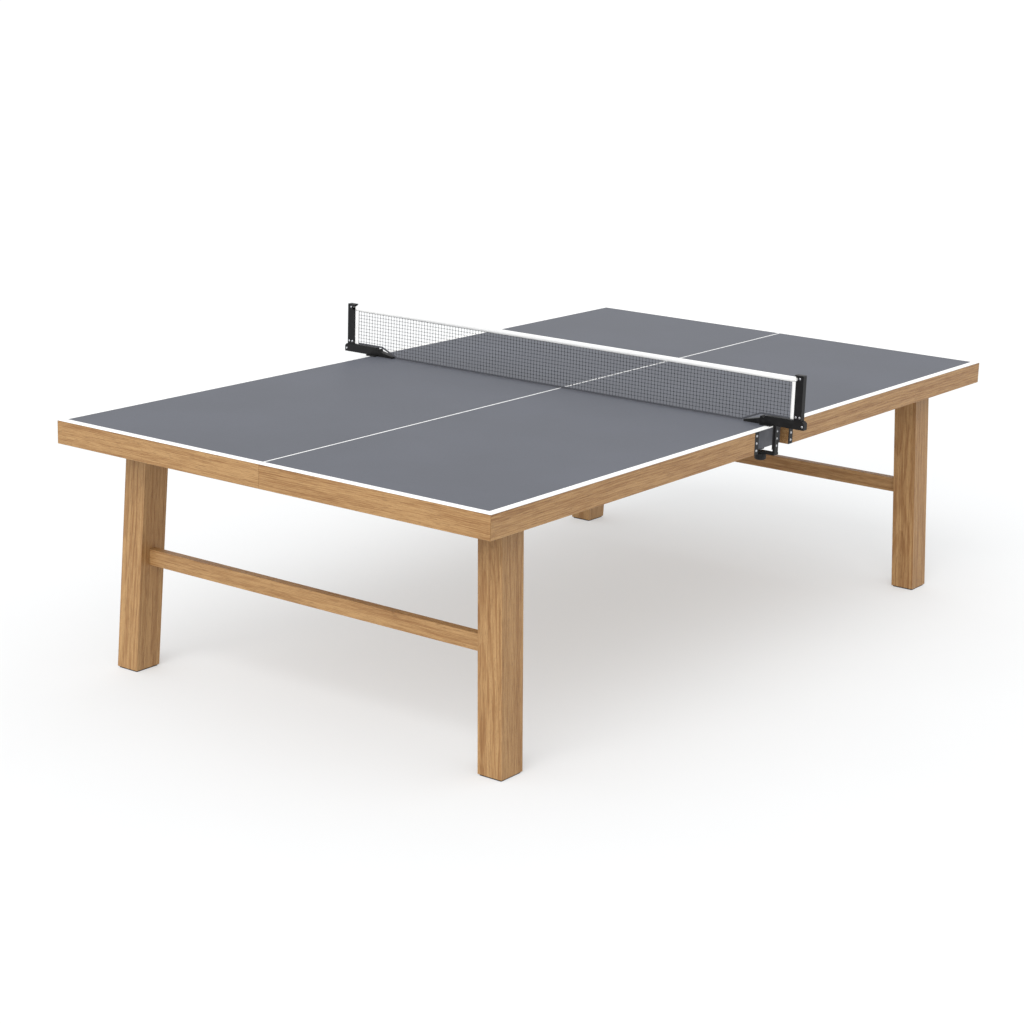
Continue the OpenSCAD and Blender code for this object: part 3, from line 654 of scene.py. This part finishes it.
def braid(name):
    """White braid: two sets of strands that cross at a slant, with shade in the gaps."""
    cord = Finish(name, Specular_IOR_Level=0.25)
    y, z = (part * 2600.0 for part in cord.split(cord.place)[1:])
    one = ((y + z).math("SINE") + 1.0) * 0.5
    other = ((y - z).math("SINE") + 1.0) * 0.5
    high = one.math("MAXIMUM", other)
    cord.wear(
        Base_Color=cord.mix(high, srgb(176, 175, 170), srgb(226, 226, 222)),
        Roughness=0.70 + one * 0.15,
        Normal=cord.bump(high, 0.00015, 0.8),
    )
    return cord.material


finish_node("net_cord", braid("white_braid"))


# --- Net ----------------------------------------------------------------------------------
# Square-meshed net of dark nylon thread about 1 mm thick, knotted at every crossing. It is
# cut to the gap between the posts, with its lower corners sloped away over the bars.


def tube(lines, radius, sides=4):
    """Round each centre line[piece, point] a ring of sides, at right angles to the line.
    One way round is along x, the other is square to both x and the line's own direction.
    The first and last rings shrink to a point, which closes the ends."""
    ahead = np.gradient(lines, axis=1)
    ahead = ahead / np.linalg.norm(ahead, axis=2, keepdims=True)
    lines, ahead = (np.concatenate([a[:, :1], a, a[:, -1:]], 1) for a in (lines, ahead))
    across = np.zeros_like(ahead)
    across[..., 0] = 1.0
    up = np.cross(ahead, across)
    angle = np.linspace(0, 2 * np.pi, sides, endpoint=False) + np.pi / 4
    width = np.full(lines.shape[1], radius)
    width[[0, -1]] = 0
    ring = np.cos(angle)[:, None] * across[:, :, None] + np.sin(angle)[:, None] * up[:, :, None]
    return lines[:, :, None] + width[None, :, None, None] * ring


def nylon(name):
    """Dark nylon twine: near black, with the sheen of twisted filaments."""
    twine = Finish(name, Specular_IOR_Level=0.4)
    uv = twine.split(twine.node("TexCoord", {}, {}, "UV"))
    slant = uv[0] * 5200.0 + uv[1] * 2600.0
    twist = (slant.math("SINE") + 1.0) * 0.5
    fade = twine.noise(twine.place, 30.0, 2.0)
    twine.wear(
        Base_Color=twine.mix(twist * 0.5 + fade * 0.5, srgb(20, 21, 24), srgb(46, 47, 52)),
        Roughness=0.55 + twist * 0.2,
        Normal=twine.bump(twist, 0.0001, 0.6),
    )
    return twine.material


low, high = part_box("net_mesh")
hem_low, hem_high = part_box("net_bottom_hem")
twine_radius, mesh_pitch, in_hem = 0.00052, 0.0115, 0.0012
half_net, net_top, net_bottom = high.y - 0.0005, high.z - 0.0005, hem_low.z + in_hem
slope_in, slope_out = 0.6505, 0.7145
hem_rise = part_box("net_side_tapes")[0].z - hem_low.z


def hem_height(y):
    """Height of the net's lower edge: level, then up a straight slope on each side, then level."""
    share = np.clip((np.abs(y) - slope_in) / (slope_out - slope_in), 0, 1)
    return net_bottom + hem_rise * share


mesh_count = 2 * int(round(half_net / mesh_pitch))
thread_y = np.linspace(-half_net, half_net, mesh_count + 1)
foot_z = hem_height(thread_y)
share = np.linspace(0, 1, 26)
waver = 0.0003
lines = np.zeros((len(thread_y), len(share), 3))
lines[..., 1] = thread_y[:, None] + waver * np.sin(share * 31.0 + thread_y[:, None] * 700.0)
lines[..., 2] = foot_z[:, None] + (net_top - foot_z[:, None]) * share
uprights = tube(lines, twine_radius)

row_count, sag = 13, 0.0004
row_z = np.linspace(net_top - 0.0095, hem_low.z + 0.0045, row_count)
climb = (row_z - net_bottom) / hem_rise
row_end = np.where(climb < 1, slope_in + np.clip(climb, 0, 1) * (slope_out - slope_in), half_net)
along_row = np.linspace(-1, 1, 2 * mesh_count + 1)
lines = np.zeros((row_count, len(along_row), 3))
lines[..., 1] = row_end[:, None] * along_row
between = np.abs(np.sin(lines[..., 1] * np.pi * mesh_count / (2 * half_net)))
lines[..., 2] = row_z[:, None] - sag * between
levels = tube(lines, twine_radius)

knot_thick, knot_wide = 0.0010, 0.0016
cross_y, cross_z = (grid.ravel() for grid in np.meshgrid(thread_y, row_z))
held = (hem_height(cross_y) < cross_z - 0.0015) & (np.abs(cross_y) < half_net)
cross_y, cross_z = cross_y[held], cross_z[held]
round_knot = np.linspace(0, 2 * np.pi, 6, endpoint=False)
fall = np.linspace(0, np.pi, 5)[:, None]
knot = np.stack(
    [
        knot_thick * np.sin(fall) * np.cos(round_knot),
        knot_wide * np.sin(fall) * np.sin(round_knot),
        knot_wide * np.cos(fall) + 0 * round_knot,
    ],
    -1,
)
knots = knot[None] + np.stack([0 * cross_y, cross_y, cross_z], -1)[:, None, None]

net_threads = skin("net_uprights", uprights, True)
for extra in (skin("net_levels", levels, True), skin("net_knots", knots, True)):
    join = bmesh.new()
    join.from_mesh(net_threads.data)
    join.from_mesh(extra.data)
    join.to_mesh(net_threads.data)
    join.free()
    bpy.data.objects.remove(extra)
net_threads.name = "net_threads"
net_threads.data.materials.append(nylon("dark_nylon"))
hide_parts("net_mesh")
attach(net_threads, "root")


# --- Net tapes and hem --------------------------------------------------------------------
# White woven tape is folded over the cord and the net's top edge and down both its ends, and
# sewn through near its edges. A narrow grey tape binds the lower edge.


def woven(name, warp_colour, weft_colour, pitch):
    """Plain weave: warp and weft, over and under each other by turns, on the UV map in metres."""
    cloth = Finish(name, Specular_IOR_Level=0.2, Sheen_Weight=0.15)
    uv = cloth.split(cloth.node("TexCoord", {}, {}, "UV"))
    one, other = (part * (math.pi / pitch) for part in uv[:2])
    warp, weft = one.math("SINE"), other.math("SINE")
    over = cloth.step(warp * weft, -0.25, 0.25)
    thick = (warp * warp) * over + (weft * weft) * (1.0 - over)
    soil = cloth.noise(cloth.place, 18.0, 3.0)
    colour = cloth.mix(over, warp_colour, weft_colour)
    cloth.wear(
        Base_Color=cloth.mix(soil * 0.16, colour, tuple(0.78 * c for c in weft_colour)),
        Roughness=0.78 + over * 0.1,
        Normal=cloth.bump(thick, pitch * 0.25, 0.7),
    )
    return cloth.material


def fold_tape(name, node, material, path, inward, width, depth, thickness):
    """Carries a folded cross-section along a path of the tape's outer edge: down one side, round
    half a circle and down the other. Inward is the direction from the fold into the net at each
    point, width is half the fold's width and depth its reach. Solidify gives the tape its body."""
    radius = width - thickness / 2
    bend = np.linspace(np.pi, 0, 9)
    across = np.concatenate([[-radius, -radius], radius * np.cos(bend), [radius, radius]])
    away = np.concatenate([[depth, depth / 2], radius - radius * np.sin(bend), [depth / 2, depth]])
    points = path[:, None] + inward[:, None] * away[None, :, None]
    points = points + across[None, :, None] * np.array([1.0, 0, 0])
    tape = skin(name, points[None])
    body = tape.modifiers.new("thickness", "SOLIDIFY")
    body.thickness, body.offset = thickness, 0.0
    tape.data.materials.append(material)
    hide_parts(node)
    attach(tape, "root")
    return tape


def stitches(name, start, finish_at, out):
    """A row of short raised threads from start to finish on both faces of a tape: flattened
    beads, each two thirds of the pitch long, laid along the row."""
    pitch, half_stitch, half_width, half_height = 0.0042, 0.34, 0.00035, 0.0003
    start, finish_at = np.array(start), np.array(finish_at)
    length = np.linalg.norm(finish_at - start)
    ahead = (finish_at - start) / length
    side = np.cross(ahead, [1.0, 0, 0])
    at = start + ahead * ((np.arange(int(length / pitch)) + 0.5) * pitch)[:, None]
    turn = np.linspace(0, 2 * np.pi, 6, endpoint=False)
    fall = np.linspace(0, np.pi, 4)[:, None]
    bead = (
        np.cos(fall)[..., None] * ahead * pitch * half_stitch
        + (np.sin(fall) * np.cos(turn))[..., None] * side * half_width
        + (np.sin(fall) * np.sin(turn))[..., None] * np.array([half_height, 0, 0])
    )
    both = np.concatenate([at + [out, 0, 0], at - [out, 0, 0]])
    row = skin(name, bead[None] + both[:, None, None], True)
    row.data.materials.append(white_thread)
    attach(row, "root")
    return row


white_tape = woven("white_tape", srgb(250, 250, 249), srgb(241, 241, 239), 0.00045)
white_thread = woven("white_thread", srgb(235, 235, 232), srgb(214, 214, 210), 0.0003)
grey_tape = woven("grey_tape", srgb(60, 61, 66), srgb(84, 85, 91), 0.00045)
white_cloth, grey_cloth, tape_width, seam_in, clear = 0.0008, 0.0006, 0.015, 0.0025, 0.0002

low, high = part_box("net_top_tape")
reach = np.linspace(low.y, high.y, 240)
path = np.stack([0 * reach, reach, 0 * reach + high.z], 1)
inward = np.tile([0.0, 0, -1.0], (len(reach), 1))
top_tape = fold_tape(
    "folded_top_tape", "net_top_tape", white_tape,
    path, inward, high.x - clear, high.z - low.z, white_cloth,
)
seam_z, seam_stop = low.z + seam_in, 0.004
top_stitches = stitches(
    "top_stitches", (0, low.y + seam_stop, seam_z), (0, high.y - seam_stop, seam_z), high.x - clear / 2
)

low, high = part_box("net_side_tapes")
rise = np.linspace(low.z, high.z - clear, 40)
side_pieces = []
for side, sy in (("front", -1), ("back", 1)):
    path = np.stack([0 * rise, 0 * rise + sy * high.y, rise], 1)
    inward = np.tile([0.0, -sy, 0], (len(rise), 1))
    side_tape = fold_tape(
        "folded_side_tape_" + side, "net_side_tapes", white_tape,
        path, inward, high.x - clear, tape_width, white_cloth,
    )
    seam_y = sy * (high.y - tape_width + seam_in)
    seam = stitches(
        "side_stitches_" + side, (0, seam_y, low.z + 0.003), (0, seam_y, high.z - 0.002), high.x - clear / 2
    )
    side_pieces += [side_tape, seam]

bends = (-hem_high.y, -slope_out, -slope_in, slope_in, slope_out, hem_high.y)
points_between = (11, 11, 159, 11, 11)
bend_at = np.cumsum((0, *points_between))
reach = np.interp(np.arange(bend_at[-1] + 1), bend_at, bends)
path = np.stack([0 * reach, reach, hem_height(reach) - in_hem], 1)
ahead = np.gradient(path, axis=0)
inward = np.stack([0 * reach, -ahead[:, 2], ahead[:, 1]], 1)
inward = inward / np.linalg.norm(inward, axis=1, keepdims=True)
hem_reach = 0.005
hem = fold_tape(
    "folded_hem", "net_bottom_hem", grey_tape,
    path, inward, hem_high.x, hem_reach, grey_cloth,
)


# --- Studio -------------------------------------------------------------------------------
# A very wide pale floor, lit a little from within as a photographer's acrylic sheet is, under
# a white sky, and one broad soft lamp from the left, so that the table's shadow is pale grey.

half = 300.0
floor = skin("floor", [[[(-half, -half, 0), (-half, half, 0)], [(half, -half, 0), (half, half, 0)]]])
floor.data.flip_normals()
floor_finish = Finish(
    "lit_floor", Specular_IOR_Level=0.0, Emission_Color=(0.95, 0.98, 1.0, 1.0), Emission_Strength=0.385
)
cloud = floor_finish.noise(floor_finish.place, 1.5)
floor_finish.wear(
    Base_Color=floor_finish.mix(cloud, (0.49, 0.49, 0.49), (0.51, 0.51, 0.51)),
    Roughness=0.9 + 0.05 * floor_finish.noise(floor_finish.place, 9.0),
)
floor.data.materials.append(floor_finish.material)

world = bpy.data.worlds.new("studio")
world.use_nodes = True
sky = world.node_tree.nodes["Background"]
sky.inputs["Color"].default_value = (1, 1, 1, 1)
sky.inputs["Strength"].default_value = 1.0
bpy.context.scene.world = world
bpy.context.scene.view_settings.view_transform = "Standard"

sun = bpy.data.lights.new("soft_lamp", "SUN")
sun.energy, sun.angle = 1.8, math.radians(50)
sun_place = bpy.data.objects.new("soft_lamp", sun)
bpy.context.scene.collection.objects.link(sun_place)
towards_sun = Vector((-1.0, -0.27, 0.77))
sun_place.rotation_euler = towards_sun.to_track_quat("Z", "Y").to_euler()


# --- Camera -------------------------------------------------------------------------------
# A long lens, seven metres from the table's middle beyond its left front corner and 2.2 m up,
# tipped down so that the top is seen with both its near sides.

yaw, pitch, roll = (math.radians(a) for a in (54.04, 14.68, 1.81))
ahead = Vector((math.sin(yaw) * math.cos(pitch), math.cos(yaw) * math.cos(pitch), -math.sin(pitch)))
right = Vector((math.cos(yaw), -math.sin(yaw), 0))
up = right.cross(ahead)
right, up = right * math.cos(roll) + up * math.sin(roll), up * math.cos(roll) - right * math.sin(roll)
lens = bpy.data.cameras.new("camera")
lens.lens, lens.sensor_width = 80.4, 36.0
lens.clip_end = 1000
camera = bpy.data.objects.new("camera", lens)
bpy.context.scene.collection.objects.link(camera)
stands_at = Matrix.Translation((-5.6927, -3.9612, 2.1755))
camera.matrix_world = stands_at @ Matrix((right, up, -ahead)).transposed().to_4x4()
bpy.context.scene.camera = camera
